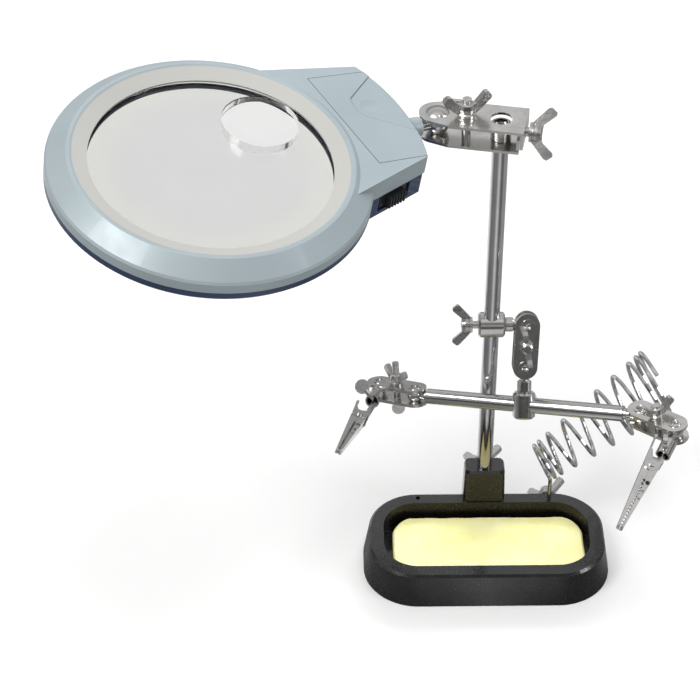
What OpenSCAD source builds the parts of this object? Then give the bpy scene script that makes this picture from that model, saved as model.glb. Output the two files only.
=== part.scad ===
// Helping hands clamp: a weighted base with a sponge tray, a tube post, a jointed arm
// with two alligator clips, a spring rest for a soldering iron, and a lit magnifier.
// Millimetres. The origin is on the ground under the middle of the base, +Z is up,
// +X is to the right and -Y is towards the person working.

/* [Base] */
// Width of the base along its top rim
base_w = 139; // [132:1:146]
// Depth of the base along its top rim
base_d = 71; // [69:1:74]
// Height of the base
base_h = 21.3; // [20:0.1:23]
// Corner radius of the rim
base_corner_r = 28.8; // [27:0.1:30]
// How far the wall leans out from rim to foot
base_flare = 3.2; // [2:0.1:4]
// Width of the rim around the tray
rim_w = 8.8; // [8.4:0.1:9.4]
// Thickness of the tray floor
floor_t = 5; // [4.5:0.1:6]
// Height of the post socket block
boss_h = 45.1; // [43:0.1:47]

/* [Post and rod] */
// Diameter of the post and of the arm rod
rod_d = 9; // [8.8:0.1:9.2]
// Height of the post's top
post_top = 283.5; // [280:0.5:287]
// Distance of the post behind the middle of the base
post_y = 34.4; // [34:0.1:35]
// Half length of the arm rod
rod_half = 58.2; // [56:0.2:60]

/* [Arm pose] */
// Height of the arm clamp on the post
clamp_z = 151.5; // [140:0.5:160]
// Forward lean of the centre knuckle, in degrees
knuckle_lean = 26; // [22:1:30]
// Sideways swing of the centre knuckle, in degrees
knuckle_swing = 3; // [-5:1:5]
// Sideways swing of the rod clamp on its ball, in degrees
rod_swing = -3; // [-5:1:5]
// Turn of the rod clamp about its stud, in degrees
rod_turn = -22; // [-26:1:-18]

/* [Knuckles] */
// Diameter of the arm's balls
ball_d = 9; // [8.8:0.1:9.2]
// Distance between the two balls in a knuckle
knuckle_l = 24; // [23:0.5:25]
// Width of a knuckle plate
plate_w = 13.9; // [13.5:0.1:14.5]
// Thickness of a knuckle plate
plate_t = 1.8; // [1.6:0.1:2]

/* [Clip poses] */
// Roll, yaw, swing and droop of the right clip's joints, in degrees
right_pose = [26, -24.4, -76.9, 11.8];
// Roll, yaw, swing and droop of the left clip's joints, in degrees
left_pose = [-10.3, -10.2, 107.2, -0.6];

/* [Clips] */
// Distance from the left holder's ball to its clip's hinge
left_hinge_x = 45; // [43:0.5:47]
// Distance from the right holder's ball to its clip's hinge
right_hinge_x = 27.5; // [26.5:0.5:28]
// Length of the jaws in front of the hinge
jaw_l = 43.5; // [42:0.5:46]

/* [Iron holder] */
// Diameter of the coil's wire
wire_d = 2.4; // [2.2:0.1:2.6]
// Radius of the coil's small end
coil_r1 = 11; // [10:0.1:12]
// Radius of the coil's large end
coil_r2 = 19.6; // [18:0.1:20]
// Rise of the wire per turn where the coil is close
coil_close = 3.6; // [3.4:0.1:4]
// Rise of the wire per turn where the coil is open
coil_open = 12.9; // [12:0.1:14]

/* [Bracket] */
// Height of the bracket's top face
bracket_z = 289.1; // [288.6:0.1:289.5]
// Turn of the bracket about the post, in degrees
bracket_turn = -11.7; // [-20:0.1:0]
// Width of the bracket
bracket_w = 25; // [24:0.5:26]
// Outer height of the bracket
bracket_h = 13.4; // [13:0.1:14]

/* [Magnifier] */
// Radius of the clear opening over the lens
opening_r = 62.4; // [62:0.1:64]
// Outer radius of the magnifier's ring
ring_r = 83.5; // [83:0.1:84]
// Distance from the head's ball to the lens centre
head_l = 130; // [129:0.5:131]
// Roll, pitch and turn of the head, in degrees
head_pose = [10.6, 4.1, 25.6];

/* [Hidden] */
$fn = 64;

// Radial clearance of everything that turns or slides
fit = 0.05;
// Clearance between pieces that only lie side by side
gap = 0.1;
steel = "silver";
plastic = "lightsteelblue";

ball_r = ball_d / 2;
rod_r = rod_d / 2;
neck_r = 2.3;
collar_r = 4.1;
// Half of the space between a knuckle's plates
plate_gap = 3.3;
// Shank radii of the knuckle bolts and of the clamping wing bolts
bolt_r = 2;
screw_r = 2.2;
// Distance along the post clamp's axis from the post to its ball
clamp_ball_x = 20.2;
clamp_sleeve_r = 7.3;
clamp_sleeve_l = 14.9;
// Distance from the rod clamp's ball to the rod's axis
rod_drop = 23;
rod_sleeve_r = 6.4;
rod_sleeve_l = 15.2;
// Places of the balls along the arm rod
left_ball_x = -66;
right_ball_x = 68;
// Clip holder tube
tube_r = 4.2;
tube_bore_r = 3.3;
tube_x1 = 8.6;
tube_x2 = 18.4;
// The clip's tail lies against the tube's wall, opposite the thumbscrew
tail_r = 1.8;
tail_x = 12.4;
// Place of the coil's stem, and of the spare hole on the left
coil_x = 39.5;
coil_y = base_d / 2 - rim_w / 2;
stem_top = 31;
clamp_bolt_z = 38;
holder_bolt_z = 13;
// Bracket: half height, sheet thickness, place of the head's ball and the clamp bolt
bracket_mid = bracket_h / 2;
sheet = 1.5;
head_ball_r = 6.5;
head_ball_x = -33.9;
bracket_bolt_x = -18.5;
bracket_right_x = 13.2;
// Magnifier: lens plane above the ball, seam and faces measured from the lens plane
lens_rise = 2;
seam_h = -6;
handle_top = 5.5;
handle_bottom = -20;
shell_t = 2;
handle_r = 112;

// ---------- frames ----------
module at_post_clamp() { translate([0, post_y, clamp_z]) children(); }
module at_swing() {
    at_post_clamp() translate([clamp_ball_x, 0, 0])
        rotate([-knuckle_lean, 0, 0]) rotate([0, knuckle_swing, 0]) children();
}
// Knuckle frame: plates lie in XY, the balls are at 0 and at knuckle_l along X
module at_center_knuckle() { at_swing() rotate([90, 90, 0]) children(); }
module at_rod_clamp() {
    at_swing() translate([0, 0, -knuckle_l]) rotate([0, rod_swing, 0])
        rotate([0, 0, rod_turn]) children();
}
module at_rod() { at_rod_clamp() translate([0, 0, -rod_drop]) children(); }
module at_left_knuckle() {
    at_rod() translate([left_ball_x, 0, 0]) rotate([0, 0, 180])
        rotate([left_pose[0], 0, 0]) rotate([0, 0, left_pose[1]]) children();
}
module at_right_knuckle() {
    at_rod() translate([right_ball_x, 0, 0])
        rotate([right_pose[0], 0, 0]) rotate([0, 0, right_pose[1]]) children();
}
// Holder frame: ball at the origin, tube and clip along +X
module at_left_holder() {
    at_left_knuckle() translate([knuckle_l, 0, 0]) rotate([0, 0, left_pose[2]])
        rotate([0, left_pose[3], 0]) children();
}
module at_right_holder() {
    at_right_knuckle() translate([knuckle_l, 0, 0]) rotate([0, 0, right_pose[2]])
        rotate([0, right_pose[3], 0]) children();
}
module at_bracket() {
    translate([0, post_y, bracket_z - bracket_mid]) rotate([0, 0, bracket_turn]) children();
}
// Head frame: ball at the origin, the lens in the direction -X
module at_head() {
    at_bracket() translate([head_ball_x, 0, 0]) rotate([0, 0, -bracket_turn])
        rotate(head_pose) children();
}
module at_lens() { at_head() translate([-head_l, 0, lens_rise]) children(); }

// ---------- shared shapes ----------
module rounded_rect(w, d, r) {
    hull() {
        for (sx = [-1, 1], sy = [-1, 1]) {
            translate([sx * (w / 2 - r), sy * (d / 2 - r)]) circle(r);
        }
    }
}

// Hub of a wing screw on +Z: a flange, a waist with a groove and a domed crown
module wing_hub(r, h) {
    rotate_extrude() polygon([
        [0, 0], [r, 0], [r, h * 0.22], [r * 0.86, h * 0.3], [r * 0.86, h * 0.36],
        [r * 0.95, h * 0.42], [r * 0.95, h * 0.62], [r * 0.8, h * 0.92], [r * 0.55, h], [0, h]
    ]);
}

// Two thick wings that lean up and out from a hub
module wings(span, thick) {
    s = span / 26;
    for (turn = [0, 180]) {
        rotate([0, 0, turn]) rotate([90, 0, 0]) linear_extrude(thick, center = true)
            polygon([
                [1.5 * s, 1 * s], [5 * s, 1.3 * s], [12.4 * s, 8 * s], [13 * s, 9.6 * s],
                [10.8 * s, 12.4 * s], [9.2 * s, 12.2 * s], [4.4 * s, 6.6 * s], [1.5 * s, 6.2 * s]
            ]);
    }
}

// Wing screw: tip at the origin, shank along +Z, then hub and wings
module wing_bolt(shank_l, shank_r, span) {
    hub_r = 4.5 * span / 24;
    cylinder(h = shank_l + 1, r = shank_r);
    translate([0, 0, shank_l]) {
        wing_hub(hub_r, 6.6);
        wings(span, 2.8);
    }
}

module wing_nut(span) {
    difference() {
        union() {
            wing_hub(4.5 * span / 24, 6.4);
            wings(span, 2.8);
        }
        translate([0, 0, -1]) cylinder(h = 20, r = bolt_r + fit);
    }
}

// One knuckle plate on the +Z side of its frame, with a seat and a raised ring per ball
module knuckle_plate() {
    z1 = plate_gap;
    ring_r = 3.6;
    ring_h = 0.5;
    window_r = 2.1;
    difference() {
        union() {
            translate([knuckle_l / 2, 0, z1]) linear_extrude(plate_t)
                rounded_rect(knuckle_l + plate_w, plate_w, plate_w / 2 - 0.01);
            for (x = [0, knuckle_l]) {
                translate([x, 0, z1]) cylinder(h = plate_t + ring_h, r1 = ring_r + 0.6, r2 = ring_r);
            }
        }
        for (x = [0, knuckle_l]) {
            translate([x, 0, 0]) sphere(r = ball_r + fit);
            translate([x, 0, 0]) cylinder(h = 20, r = window_r);
        }
        translate([knuckle_l / 2, 0, 0]) cylinder(h = 20, r = bolt_r + fit);
    }
}

// Bolt through a knuckle's middle: head under the lower plate, end out of the upper one
knuckle_out = plate_gap + plate_t + gap;
module knuckle_bolt(above) {
    head_h = 2.6;
    translate([knuckle_l / 2, 0, -knuckle_out]) {
        cylinder(h = 2 * knuckle_out + above, r = bolt_r);
        translate([0, 0, -head_h]) cylinder(h = head_h, r = 3.7, $fn = 6);
    }
}

// Bolt with a flat thumb disc under the lower plate
module paddle_bolt(above) {
    disc_r = 3.9;
    shoulder = 1.2;
    translate([knuckle_l / 2, 0, -knuckle_out]) {
        cylinder(h = 2 * knuckle_out + above, r = bolt_r);
        translate([0, 0, -shoulder]) cylinder(h = shoulder, r = 3.2);
        translate([0, 0, -disc_r - 0.8]) rotate([90, 0, 35])
            cylinder(h = 2.2, r = disc_r, center = true);
    }
}

module knuckle_wing_nut() {
    translate([knuckle_l / 2, 0, knuckle_out]) children();
}

// Ball at the origin, then neck, collar and spigot along +X
module ball_stud(neck_x, collar_x, spigot_x) {
    spigot_r = 2.5;
    rotate([0, 90, 0]) sphere(r = ball_r);
    rotate([0, 90, 0]) rotate_extrude() polygon([
        [0, 1], [neck_r, 1], [neck_r, neck_x], [collar_r - 1.2, neck_x], [collar_r, neck_x + 1],
        [collar_r, collar_x - 0.7], [collar_r - 0.7, collar_x], [spigot_r, collar_x],
        [spigot_r, spigot_x], [0, spigot_x]
    ]);
}

// Round sleeve along Z with softened ends
module sleeve(r, l) {
    c = 1.1;
    rotate_extrude() polygon([
        [0, -l / 2], [r - c, -l / 2], [r, -l / 2 + c], [r, l / 2 - c], [r - c, l / 2], [0, l / 2]
    ]);
}

// ---------- base ----------
module base_block() {
    lip = 1.4;
    hull() {
        for (sx = [-1, 1], sy = [-1, 1]) {
            translate([sx * (base_w / 2 - base_corner_r), sy * (base_d / 2 - base_corner_r), 0]) {
                cylinder(h = base_h - lip, r1 = base_corner_r + base_flare, r2 = base_corner_r, $fn = 72);
                cylinder(h = base_h, r = base_corner_r - lip, $fn = 72);
            }
        }
    }
}

module boss_block() {
    w = 24;
    d = 12.8;
    r = 3;
    draft = 1.2;
    hull() {
        translate([0, post_y, boss_h - 0.8]) linear_extrude(0.8) rounded_rect(w - 1.2, d - 1.2, r);
        translate([0, post_y, boss_h - 2]) linear_extrude(0.1) rounded_rect(w, d, r);
        translate([0, post_y, 0]) linear_extrude(0.1) rounded_rect(w + 2 * draft, d + 2 * draft, r + 1);
    }
}

module base_casting() {
    socket_z = 8;
    color("#202124") difference() {
        union() {
            base_block();
            boss_block();
        }
        translate([0, 0, floor_t]) linear_extrude(base_h)
            rounded_rect(base_w - 2 * rim_w, base_d - 2 * rim_w, base_corner_r - rim_w);
        translate([0, post_y, socket_z]) cylinder(h = boss_h, r = rod_r + fit);
        translate([0, post_y, clamp_bolt_z]) rotate([-90, 0, 0]) cylinder(h = 20, r = screw_r + fit);
        translate([coil_x, coil_y, 5]) cylinder(h = base_h, r = wire_d / 2 + fit);
        translate([-coil_x, coil_y, 11]) cylinder(h = base_h, r = 1.4);
        translate([coil_x, coil_y, holder_bolt_z]) rotate([-90, 0, 0])
            cylinder(h = 20, r = screw_r + fit);
    }
}

module sponge() {
    color("khaki") translate([1.5, -0.3, floor_t + 0.2]) rotate([0, 0, 1.5])
        linear_extrude(7.5) rounded_rect(114, 47, 15);
}

module base_wing_bolt() {
    color(steel) translate([0, post_y + rod_r + 0.03, clamp_bolt_z]) rotate([-90, 0, 0])
        rotate([0, 0, -18]) wing_bolt(5.2, screw_r, 24);
}

module iron_holder_wing_bolt() {
    color(steel) translate([coil_x, coil_y + wire_d / 2 + 0.03, holder_bolt_z])
        rotate([-90, 0, 0]) rotate([0, 0, -28]) wing_bolt(7.8, screw_r, 24);
}

// ---------- iron holder ----------
coil_axis = [0.8168, 0.3197, 0.4801];
coil_turns = 9.62;
coil_steps = 22;
wire_sides = 8;
// Turns at which the pitch opens and closes again, and half the length of each change
coil_opens = 2.13;
coil_closes = 7.47;
coil_ease_1 = 0.9;
coil_ease_2 = 0.7;
// Lean of the turns along the axis, and the side of the coil that leans forward
turn_lean = 0.115;
lean_side = 44;
coil_ax = coil_axis / norm(coil_axis);
coil_side = cross([0, 0, 1], coil_ax) / norm(cross([0, 0, 1], coil_ax));
coil_up = cross(coil_ax, coil_side);
// First turn's lowest point, beside and above the stem
coil_foot = [coil_x - 2, coil_y + 0.3, stem_top + 8.7];
function ease(x, w) = x < -w ? 0 : x > w ? x : (x + w) * (x + w) / (4 * w);
function coil_rise(t) = coil_close * t
    + (coil_open - coil_close) * (ease(t - coil_opens, coil_ease_1) - ease(t - coil_closes, coil_ease_2));
coil_l = coil_rise(coil_turns);
coil_start = coil_foot + coil_r1 * (coil_up + turn_lean * cos(lean_side) * coil_ax);
function coil_point(t) =
    let (s = coil_rise(t), r = coil_r1 + (coil_r2 - coil_r1) * s / coil_l, a = 360 * t)
    coil_start + coil_ax * (s - turn_lean * r * cos(a + lean_side))
        - coil_up * r * cos(a) + coil_side * r * sin(a);
function bend(p, c1, c2, q, u) =
    p * pow(1 - u, 3) + c1 * 3 * u * pow(1 - u, 2) + c2 * 3 * u * u * (1 - u) + q * pow(u, 3);
// Path of the wire: straight stem, a soft bend, then the coil
stem_end = [coil_x, coil_y, stem_top];
coil_path = concat(
    [for (z = [6, 14, 22]) [coil_x, coil_y, z]],
    [for (i = [0 : 9]) bend(stem_end, stem_end + [0, 0, 5.5], coil_point(0) - coil_side * 4.5,
        coil_point(0), i / 10)],
    [for (i = [0 : coil_turns * coil_steps]) coil_point(i / coil_steps)]
);

// Closed tube of flat facets around a path
module wire(path, r) {
    last = len(path) - 1;
    rings = [for (i = [0 : last])
        let (d = path[min(i + 1, last)] - path[max(i - 1, 0)], t = d / norm(d),
             n0 = cross(coil_ax, t), n = norm(n0) > 0.2 ? n0 / norm(n0) : coil_side,
             b = cross(t, n), m = b / norm(b), q = cross(m, t))
        for (k = [0 : wire_sides - 1])
            let (a = 360 * k / wire_sides) path[i] + r * (q * cos(a) + m * sin(a))];
    sides = [for (i = [0 : last - 1], k = [0 : wire_sides - 1])
        let (j = (k + 1) % wire_sides, u = i * wire_sides, v = u + wire_sides)
        [u + k, u + j, v + j, v + k]];
    start_cap = [[for (k = [0 : wire_sides - 1]) wire_sides - 1 - k]];
    end_cap = [[for (k = [0 : wire_sides - 1]) last * wire_sides + k]];
    polyhedron(rings, concat(sides, start_cap, end_cap), convexity = 20);
}

module iron_holder_coil() { color(steel) wire(coil_path, wire_d / 2); }

// ---------- post and its clamp ----------
module post() {
    color(steel) translate([0, post_y, 8.1]) difference() {
        cylinder(h = post_top - 8.1, r = rod_r);
        translate([0, 0, -1]) cylinder(h = post_top, r = rod_r - 1);
    }
}

// Ring pressed on the post's top, between the bracket's plates
post_collar_r = 5.6;
module post_collar() {
    color(steel) translate([0, post_y, bracket_z - bracket_h + sheet + 0.3]) difference() {
        cylinder(h = 8.6, r = post_collar_r);
        translate([0, 0, -1]) cylinder(h = 20, r = rod_r + 0.02);
    }
}

module post_clamp_sleeve() {
    color(steel) at_post_clamp() difference() {
        rotate([0, 90, 0]) sleeve(clamp_sleeve_r, clamp_sleeve_l);
        cylinder(h = 40, r = rod_r + fit, center = true);
        rotate([0, -90, 0]) cylinder(h = 20, r = screw_r + fit);
        rotate([0, 90, 0]) cylinder(h = 20, r = 2.5 + fit);
    }
}

module post_clamp_wing_bolt() {
    color(steel) at_post_clamp() translate([-rod_r - 0.03, 0, 0]) rotate([0, -90, 0])
        rotate([0, 0, 20]) wing_bolt(6.2, screw_r, 24);
}

module post_clamp_ball_stud() {
    color(steel) at_post_clamp() translate([clamp_ball_x, 0, 0]) rotate([0, 180, 0])
        ball_stud(7.4, clamp_ball_x - clamp_sleeve_l / 2 - fit, clamp_ball_x - rod_r - 0.6);
}

// ---------- centre knuckle ----------
module center_knuckle_front_plate() { color(steel) at_center_knuckle() knuckle_plate(); }
module center_knuckle_rear_plate() {
    color(steel) at_center_knuckle() mirror([0, 0, 1]) knuckle_plate();
}
module center_knuckle_bolt() { color(steel) at_center_knuckle() knuckle_bolt(8.4); }
module center_knuckle_wing_nut() {
    color(steel) at_center_knuckle() knuckle_wing_nut() rotate([0, 0, 12]) wing_nut(21);
}

// ---------- rod clamp and rod ----------
module rod_clamp_ball_stud() {
    color(steel) at_rod_clamp() rotate([0, 90, 0])
        ball_stud(8.2, rod_drop - rod_sleeve_l / 2 - fit, rod_drop - rod_r - 0.6);
}

module rod_clamp_sleeve() {
    color(steel) at_rod() difference() {
        sleeve(rod_sleeve_r, rod_sleeve_l);
        rotate([0, 90, 0]) cylinder(h = 40, r = rod_r + fit, center = true);
        rotate([-90, 0, 0]) cylinder(h = 20, r = screw_r + fit);
        cylinder(h = 20, r = 2.5 + fit);
    }
}

module rod_clamp_wing_bolt() {
    color(steel) at_rod() translate([0, rod_r + 0.03, 0]) rotate([-90, 0, 0])
        rotate([0, 0, 35]) wing_bolt(4.6, screw_r, 21);
}

module arm_rod() {
    color(steel) at_rod() rotate([0, 90, 0]) difference() {
        cylinder(h = 2 * rod_half, r = rod_r, center = true);
        for (side = [-1, 1]) {
            translate([0, 0, side * rod_half]) cylinder(h = 16, r = 2.5 + fit, center = true);
        }
    }
}

// Ball and neck that turn in the rod's end
module rod_ball(reach) {
    flange_r = 3.2;
    spigot_r = 2.5;
    rotate([0, 90, 0]) sphere(r = ball_r);
    rotate([0, 90, 0]) rotate_extrude() polygon([
        [0, 1], [neck_r, 1], [neck_r, reach - 1.6], [flange_r, reach - 1.6],
        [flange_r, reach - 0.1], [spigot_r, reach - 0.1], [spigot_r, reach + 7], [0, reach + 7]
    ]);
}
module left_rod_ball() {
    color(steel) at_rod() translate([left_ball_x, 0, 0]) rod_ball(-left_ball_x - rod_half);
}
module right_rod_ball() {
    color(steel) at_rod() translate([right_ball_x, 0, 0]) rotate([0, 0, 180])
        rod_ball(right_ball_x - rod_half);
}

// ---------- clip holders ----------
module holder_ball() {
    flange_x = tube_x1 - 0.3;
    end_x = tube_x1 + 1.6;
    thin_neck_r = 1.8;
    rotate([0, 90, 0]) sphere(r = ball_r);
    rotate([0, 90, 0]) rotate_extrude() polygon([
        [0, 1], [thin_neck_r, 1], [thin_neck_r, flange_x - 0.6], [tube_r - 0.5, flange_x],
        [tube_r - 0.5, tube_x1 - 0.05], [tube_bore_r - 0.02, tube_x1 - 0.05],
        [tube_bore_r - 0.02, end_x], [0, end_x]
    ]);
}

// Place of the thumbscrew along the tube, and the tail's offset from the tube's axis
thumb_x = 15.4;
tail_offset = tube_bore_r - tail_r - 0.04;
module holder_tube() {
    rotate([0, 90, 0]) difference() {
        translate([0, 0, tube_x1]) cylinder(h = tube_x2 - tube_x1, r = tube_r);
        translate([0, 0, tube_x1 - 1]) cylinder(h = tube_x2, r = tube_bore_r);
        translate([0, 0, thumb_x]) rotate([-90, 0, 0]) cylinder(h = 20, r = 1.5 + fit);
    }
}

// Thumbscrew across the tube: a ridged round paddle on a stem towards the clip's tail
module thumbscrew(face) {
    disc_r = 4.3;
    thick = 2.4;
    disc_at = 5.3;
    translate([thumb_x, tail_r - tail_offset + 0.03, 0]) rotate([-90, 0, 0]) {
        cylinder(h = disc_at + 1.5, r = 1.5);
        translate([0, 0, disc_at + disc_r]) rotate([0, 0, face]) rotate([90, 0, 0]) difference() {
            cylinder(h = thick, r = disc_r, center = true);
            for (y = [-3 : 1.5 : 3], s = [-1, 1]) {
                translate([0, y, s * thick / 2]) cube([2 * disc_r, 0.6, 0.5], center = true);
            }
        }
    }
}

// ---------- alligator clips ----------
// Clip frame: rivet along Z, jaws along +X, they meet on y = 0; the tail's axis is tail_y lower
tail_y = -3.4;
tooth = 2.2;
jaw_t = 0.7;
clip_w = 8.6;
tip_w = 4;
// Depth of each jaw at the rivet and at the tip
jaw_back = 4.4;
tip_back = 1.7;
handle_l = 18.6;
back_slope = (jaw_back - tip_back) / jaw_l;
// Depth of a jaw's back at any place along the clip
function back_at(x) = tip_back + (jaw_l - x) * back_slope;

// Outline of one jaw from the side: a toothed edge on y = 0 and a straight back below
module jaw_side(start) {
    teeth = floor((jaw_l - 10) / tooth);
    x0 = jaw_l - teeth * tooth;
    polygon(concat(
        [[start, 0], [x0, 0]],
        [for (i = [0 : teeth - 1], p = [0, 1])
            [x0 + (i + (p == 0 ? 0.5 : 1)) * tooth, p == 0 ? -0.9 : 0]],
        [[jaw_l, -tip_back + 0.8], [jaw_l - 0.8, -tip_back], [start, -back_at(start)]]
    ));
}

// Outline of one jaw from above, narrowing to the tip
module jaw_top(start, inset) {
    polygon([
        [start, -clip_w / 2 + inset], [jaw_l - 1.2, -tip_w / 2 + inset], [jaw_l, -tip_w / 2 + 1 + inset],
        [jaw_l, tip_w / 2 - 1 - inset], [jaw_l - 1.2, tip_w / 2 - inset], [start, clip_w / 2 - inset]
    ]);
}

// Folded sheet jaw, open on its toothed side
module jaw_channel(start) {
    difference() {
        intersection() {
            linear_extrude(clip_w + 2, center = true) jaw_side(start);
            rotate([90, 0, 0]) linear_extrude(40, center = true) jaw_top(start, 0);
        }
        intersection() {
            linear_extrude(clip_w + 2, center = true)
                polygon([[start - 1, 1], [jaw_l - 2, 1], [jaw_l - 2, -back_at(jaw_l - 2) + jaw_t],
                    [start - 1, -back_at(start - 1) + jaw_t]]);
            rotate([90, 0, 0]) linear_extrude(40, center = true) jaw_top(start - 1, jaw_t);
        }
    }
}

// Pair of flat side plates with one outline
module sides(half, points) {
    for (z = [-half, half - jaw_t]) {
        translate([0, 0, z]) linear_extrude(jaw_t) polygon(points);
    }
}
module ears(half, r) {
    for (z = [-half, half - jaw_t]) {
        translate([0, 0, z]) cylinder(h = jaw_t, r = r);
    }
}

module clip_fixed_jaw(tail_l) {
    half = clip_w / 2;
    neck_x = -5.5;
    difference() {
        union() {
            translate([0, -gap / 2, 0]) jaw_channel(2);
            ears(half, jaw_back);
            // Sides run back to the neck, where the sheet is rolled into the tail
            sides(half, [[3, -4.2], [3, 2], [-1, 3.6], [neck_x, tail_y + 1.8], [neck_x, tail_y - 1.8], [-2, -back_at(0)]]);
            translate([neck_x, tail_y - 1.7, -half]) cube([2.4, jaw_t, clip_w]);
            translate([neck_x - 0.4, tail_y, 0]) rotate([0, 90, 0]) cylinder(h = 1.2, r = 1.9);
            translate([neck_x - 0.2, tail_y - 1.5, -half]) cube([jaw_t, 3, clip_w]);
            translate([-tail_l, tail_y, 0]) rotate([0, 90, 0]) cylinder(h = tail_l + neck_x + 0.5, r = tail_r);
        }
        cylinder(h = 40, r = 1.1 + fit, center = true);
        translate([12, -2.4, 0]) cylinder(h = 40, r = 1.3, center = true);
        translate([18, -2.1, 0]) cylinder(h = 40, r = 0.8, center = true);
        translate([23, -1.9, 0]) cylinder(h = 40, r = 0.6, center = true);
        translate([-tail_l - 1, tail_y, 0]) rotate([0, 90, 0]) cylinder(h = 6, r = tail_r - 0.5);
    }
}

module clip_moving_jaw() {
    half = clip_w / 2 - jaw_t - 2 * gap;
    tip_y = back_at(-handle_l);
    web = 0.9;
    difference() {
        union() {
            translate([0, gap / 2, 0]) mirror([0, 1, 0]) jaw_channel(5);
            ears(half, 3.6);
            sides(half, [[8.4, 0.8], [8.4, back_at(8.4) - 0.1], [0, back_at(0) - 0.1], [-9, back_at(-9) - 0.1],
                [-9, back_at(-9) - 1.5], [-3.4, 1]]);
            // Straight back that carries on as the handle
            intersection() {
                translate([0, 0, -clip_w / 2]) linear_extrude(clip_w)
                    polygon([[6, back_at(6)], [6, back_at(6) - web], [0, back_at(0) - web],
                        [-handle_l, tip_y - web], [-handle_l, tip_y], [0, back_at(0)]]);
                rotate([90, 0, 0]) linear_extrude(40, center = true) polygon([
                    [7, clip_w / 2], [4.6, clip_w / 2], [4.6, half], [-6, half], [-handle_l + 1, 1.6],
                    [-handle_l, 1], [-handle_l, -1], [-handle_l + 1, -1.6], [-6, -half], [4.6, -half],
                    [4.6, -clip_w / 2], [7, -clip_w / 2]
                ]);
            }
            // Rolled bead at the handle's end
            translate([-handle_l, tip_y - 0.5, 0]) cylinder(h = 3, r = 0.9, center = true);
        }
        cylinder(h = 40, r = 1.1 + fit, center = true);
    }
}

module clip_rivet() {
    l = clip_w / 2 + 0.05;
    cylinder(h = 2 * l, r = 1.1, center = true);
    for (s = [-1, 1]) {
        translate([0, 0, s * (l + 0.35)]) cylinder(h = 0.7, r = 2, center = true);
    }
}

// Coils of the torsion spring around the rivet, with one leg along the fixed jaw
module clip_spring() {
    wire_r = 0.4;
    coil_r = 1.9;
    for (i = [-1 : 1]) {
        translate([0, 0, i * 2 * (wire_r + 0.02)]) rotate_extrude()
            translate([coil_r, 0]) circle(wire_r, $fn = 24);
    }
    translate([0.2, -coil_r, -0.84]) rotate([0, 90, 0]) cylinder(h = 5, r = wire_r, $fn = 24);
}

// The clip turns about its tail, which lies off the tube's axis
module at_tail(hinge_x, thumb_turn, turn) {
    rotate([thumb_turn, 0, 0]) translate([hinge_x, -tail_offset, 0])
        rotate([turn, 0, 0]) translate([0, -tail_y, 0]) children();
}
module at_left_clip() {
    at_left_holder() at_tail(left_hinge_x, left_thumb_turn, left_clip_turn) children();
}
module at_right_clip() {
    at_right_holder() at_tail(right_hinge_x, right_thumb_turn, right_clip_turn) children();
}
left_clip_turn = 27.9;
right_clip_turn = 75.4;
left_thumb_turn = 128.5;
right_thumb_turn = 78.2;

module left_knuckle_top_plate() { color(steel) at_left_knuckle() knuckle_plate(); }
module left_knuckle_bottom_plate() {
    color(steel) at_left_knuckle() mirror([0, 0, 1]) knuckle_plate();
}
module left_knuckle_bolt() { color(steel) at_left_knuckle() paddle_bolt(13.5); }
module left_knuckle_wing_nut() {
    color(steel) at_left_knuckle() knuckle_wing_nut() rotate([0, 0, -25]) wing_nut(21);
}
module left_holder_ball() { color(steel) at_left_holder() holder_ball(); }
module left_holder_tube() {
    color(steel) at_left_holder() rotate([left_thumb_turn, 0, 0]) holder_tube();
}
module left_thumbscrew() {
    color(steel) at_left_holder() rotate([left_thumb_turn, 0, 0]) thumbscrew(-64);
}
module left_clip_fixed_jaw() { color(steel) at_left_clip() clip_fixed_jaw(left_hinge_x - tail_x); }
module left_clip_moving_jaw() { color(steel) at_left_clip() clip_moving_jaw(); }
module left_clip_rivet() { color(steel) at_left_clip() clip_rivet(); }
module left_clip_spring() { color(steel) at_left_clip() clip_spring(); }

module right_knuckle_top_plate() { color(steel) at_right_knuckle() knuckle_plate(); }
module right_knuckle_bottom_plate() {
    color(steel) at_right_knuckle() mirror([0, 0, 1]) knuckle_plate();
}
module right_knuckle_bolt() { color(steel) at_right_knuckle() knuckle_bolt(7.6); }
module right_knuckle_wing_nut() {
    color(steel) at_right_knuckle() knuckle_wing_nut() rotate([0, 0, 65]) wing_nut(21);
}
module right_holder_ball() { color(steel) at_right_holder() holder_ball(); }
module right_holder_tube() {
    color(steel) at_right_holder() rotate([right_thumb_turn, 0, 0]) holder_tube();
}
module right_thumbscrew() {
    color(steel) at_right_holder() rotate([right_thumb_turn, 0, 0]) thumbscrew(20);
}
module right_clip_fixed_jaw() { color(steel) at_right_clip() clip_fixed_jaw(right_hinge_x - tail_x); }
module right_clip_moving_jaw() { color(steel) at_right_clip() clip_moving_jaw(); }
module right_clip_rivet() { color(steel) at_right_clip() clip_rivet(); }
module right_clip_spring() { color(steel) at_right_clip() clip_spring(); }

// ---------- magnifier bracket ----------
// Outline of a bracket plate: round around the head's ball, square at the post
module bracket_outline(right_x) {
    nose_r = 10;
    hull() {
        translate([head_ball_x, 0]) circle(nose_r);
        translate([head_ball_x + 8, 0]) square([1, bracket_w], center = true);
        translate([right_x - 1, 0]) square([2, bracket_w], center = true);
    }
}

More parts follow.
